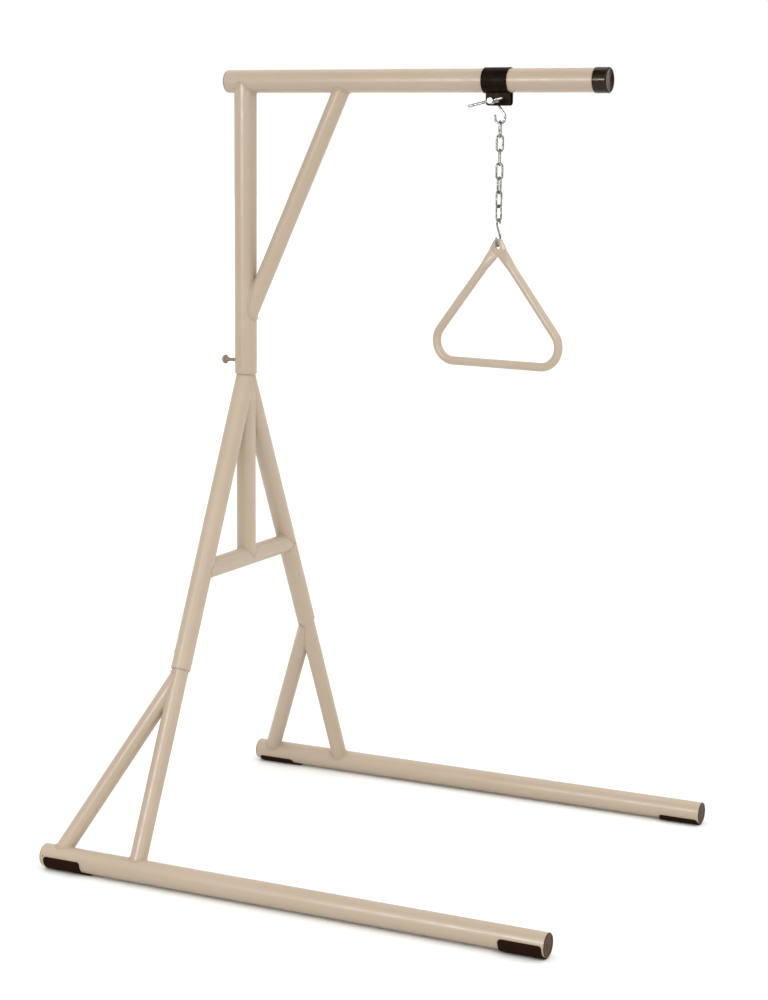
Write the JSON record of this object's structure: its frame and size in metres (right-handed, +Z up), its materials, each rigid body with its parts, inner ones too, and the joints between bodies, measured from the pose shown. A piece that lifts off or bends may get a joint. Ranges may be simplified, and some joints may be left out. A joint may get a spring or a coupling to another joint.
{
  "type": "floor-standing trapeze lift",
  "caption": "Floor-standing patient trapeze: A-frame on floor rails, swivelling mast and arm with a diagonal brace, sliding clamp, chain and triangle pull-up handle.",
  "frame": {"origin": "on the floor, midway between the two floor rails and midway along them", "axes": "+Z up, +X the way the arm points at rest, +Y to the right-hand rail seen from behind the mast"},
  "size_m": [1.2116, 1.0348, 1.7669],
  "materials": {
    "frame_paint": "gloss beige powder coat",
    "handle_paint": "gloss beige powder coat",
    "knob_paint": "gloss",
    "plug_plastic": "fine matte",
    "cap_plastic": "soft gloss",
    "pad_rubber": "matte",
    "clamp_black": "semi-gloss black",
    "zinc": "bright zinc"
  },
  "bodies": {
    "base_frame": {"left_base_rail": "frame_paint", "left_leg_stub": "frame_paint", "left_rear_brace": "frame_paint", "left_leg_tube": "frame_paint", "left_leg_bolt": "zinc", "left_front_rail_plug": "plug_plastic", "left_rear_rail_plug": "plug_plastic", "left_front_foot_pad": "pad_rubber", "left_rear_foot_pad": "pad_rubber", "right_base_rail": "frame_paint", "right_leg_stub": "frame_paint", "right_rear_brace": "frame_paint", "right_leg_tube": "frame_paint", "right_leg_bolt": "zinc", "right_front_rail_plug": "plug_plastic", "right_rear_rail_plug": "plug_plastic", "right_front_foot_pad": "pad_rubber", "right_rear_foot_pad": "pad_rubber", "crossbar": "frame_paint", "centre_post": "frame_paint"},
    "mast_arm": {"mast_tube": "frame_paint", "arm_tube": "frame_paint", "arm_diagonal": "frame_paint", "arm_rear_plug": "plug_plastic", "arm_front_cap": "cap_plastic"},
    "lock_screw_body": {"lock_screw": "knob_paint"},
    "lock_knob_body": {"lock_knob": "knob_paint"},
    "clamp": {"clamp_band": "clamp_black", "clamp_nut": "zinc"},
    "clamp_screw_body": {"clamp_screw": "zinc"},
    "tommy_bar_body": {"tommy_bar": "zinc"},
    "top_hook_body": {"top_hook": "zinc"},
    "link_1_body": {"chain_link_1": "zinc"},
    "link_2_body": {"chain_link_2": "zinc"},
    "link_3_body": {"chain_link_3": "zinc"},
    "link_4_body": {"chain_link_4": "zinc"},
    "link_5_body": {"chain_link_5": "zinc"},
    "link_6_body": {"chain_link_6": "zinc"},
    "link_7_body": {"chain_link_7": "zinc"},
    "low_hook_body": {"low_hook": "zinc"},
    "handle": {"triangle_handle": "handle_paint"}
  },
  "joints": [
    {"name": "mast_swivel", "type": "hinge", "parent": "base_frame", "child": "mast_arm", "pos_m": [-0.36725, 0, 1.2], "axis": [0, 0, 1], "continuous": true},
    {"name": "lock_screw_travel", "type": "slide", "parent": "mast_arm", "child": "lock_screw_body", "axis": [-1, 0, 0], "range_m": [0, 0.0061]},
    {"name": "lock_knob_turn", "type": "hinge", "parent": "lock_screw_body", "child": "lock_knob_body", "pos_m": [-0.42, 0, 1.107], "axis": [-1, 0, 0], "range_deg": [0, 1440]},
    {"name": "clamp_slide", "type": "slide", "parent": "mast_arm", "child": "clamp", "axis": [1, 0, 0], "range_m": [-0.18, 0.185]},
    {"name": "clamp_screw_turn", "type": "hinge", "parent": "clamp", "child": "clamp_screw_body", "pos_m": [0.25725, 0, 1.6958], "axis": [0, -1, 0], "range_deg": [-360, 360]},
    {"name": "tommy_bar_slide", "type": "slide", "parent": "clamp_screw_body", "child": "tommy_bar_body", "axis": [0.9744, 0, 0.225], "range_m": [-0.02, 0.04]},
    {"name": "top_hook_swing", "type": "hinge", "parent": "clamp", "child": "top_hook_body", "pos_m": [0.25725, 0, 1.6958], "axis": [0, 1, 0], "range_deg": [-35, 35]},
    {"name": "link_1_swing", "type": "hinge", "parent": "top_hook_body", "child": "link_1_body", "pos_m": [0.26025, 0, 1.6486], "axis": [1, 0, 0], "range_deg": [-30, 30]},
    {"name": "link_2_swing", "type": "hinge", "parent": "link_1_body", "child": "link_2_body", "pos_m": [0.26025, 0, 1.61905], "axis": [-0.1758, 0.9844, 0], "range_deg": [-30, 30]},
    {"name": "link_3_swing", "type": "hinge", "parent": "link_2_body", "child": "link_3_body", "pos_m": [0.26025, 0, 1.5893], "axis": [-0.9382, -0.3461, 0], "range_deg": [-30, 30]},
    {"name": "link_4_swing", "type": "hinge", "parent": "link_3_body", "child": "link_4_body", "pos_m": [0.26025, 0, 1.55955], "axis": [0.5057, -0.8627, 0], "range_deg": [-30, 30]},
    {"name": "link_5_swing", "type": "hinge", "parent": "link_4_body", "child": "link_5_body", "pos_m": [0.26025, 0, 1.5298], "axis": [0.7604, 0.6494, 0], "range_deg": [-30, 30]},
    {"name": "link_6_swing", "type": "hinge", "parent": "link_5_body", "child": "link_6_body", "pos_m": [0.26025, 0, 1.50005], "axis": [-0.773, 0.6344, 0], "range_deg": [-30, 30]},
    {"name": "link_7_swing", "type": "hinge", "parent": "link_6_body", "child": "link_7_body", "pos_m": [0.26025, 0, 1.4703], "axis": [-0.4886, -0.8725, 0], "range_deg": [-30, 30]},
    {"name": "low_hook_swing", "type": "hinge", "parent": "link_7_body", "child": "low_hook_body", "pos_m": [0.26025, 0, 1.44055], "axis": [0.9448, -0.3276, 0], "range_deg": [-30, 30]},
    {"name": "handle_swing", "type": "hinge", "parent": "low_hook_body", "child": "handle", "pos_m": [0.26025, 0, 1.3874], "axis": [0.1564, 0.9877, 0], "range_deg": [-55, 55]}
  ],
  "couplings": [
    {"joint": "lock_screw_travel", "follows": "lock_knob_turn", "m_per_rad": 0.00023873}
  ]
}
